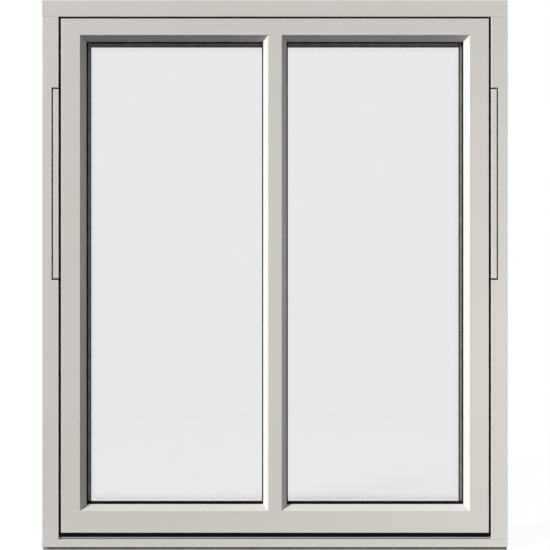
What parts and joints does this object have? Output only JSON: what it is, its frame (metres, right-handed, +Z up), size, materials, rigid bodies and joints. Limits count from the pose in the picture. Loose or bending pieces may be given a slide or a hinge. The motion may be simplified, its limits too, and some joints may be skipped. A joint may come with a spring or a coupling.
{
  "type": "pivot window",
  "caption": "Reversible pivot window with a mullioned, sealed-glass sash in a rebated, light grey painted timber frame, hung on pivot arms set into the jambs.",
  "frame": {"origin": "middle of the sill's flat underside, half way through the frame's depth", "axes": "+X to the right seen from outdoors, +Y into the room, +Z up"},
  "size_m": [1.09, 0.125, 1.29],
  "materials": {
    "painted_timber": "satin",
    "painted_cover": "satin",
    "glass": "gloss",
    "gasket": "matte",
    "spacer": "matte",
    "pivot_steel": "satin",
    "handle": "satin"
  },
  "bodies": {
    "root": {"frame_head": "painted_timber", "frame_left_jamb": "painted_timber", "frame_right_jamb": "painted_timber", "frame_sill": "painted_timber", "handle_lever": "handle", "handle_plate": "handle", "left_inner_gasket": "gasket", "left_inner_glass": "glass", "left_inner_spacer": "spacer", "left_light_bottom_bead": "painted_timber", "left_light_left_bead": "painted_timber", "left_light_right_bead": "painted_timber", "left_light_top_bead": "painted_timber", "left_middle_glass": "glass", "left_outer_gasket": "gasket", "left_outer_glass": "glass", "left_outer_spacer": "spacer", "left_pivot_arm": "pivot_steel", "left_pivot_cover": "painted_cover", "rain_seal": "gasket", "right_inner_gasket": "gasket", "right_inner_glass": "glass", "right_inner_spacer": "spacer", "right_light_bottom_bead": "painted_timber", "right_light_left_bead": "painted_timber", "right_light_right_bead": "painted_timber", "right_light_top_bead": "painted_timber", "right_middle_glass": "glass", "right_outer_gasket": "gasket", "right_outer_glass": "glass", "right_outer_spacer": "spacer", "right_pivot_arm": "pivot_steel", "right_pivot_cover": "painted_cover", "sash_bottom_rail": "painted_timber", "sash_left_stile": "painted_timber", "sash_mullion": "painted_timber", "sash_right_stile": "painted_timber", "sash_top_rail": "painted_timber", "weather_seal": "gasket"}
  },
  "joints": []
}
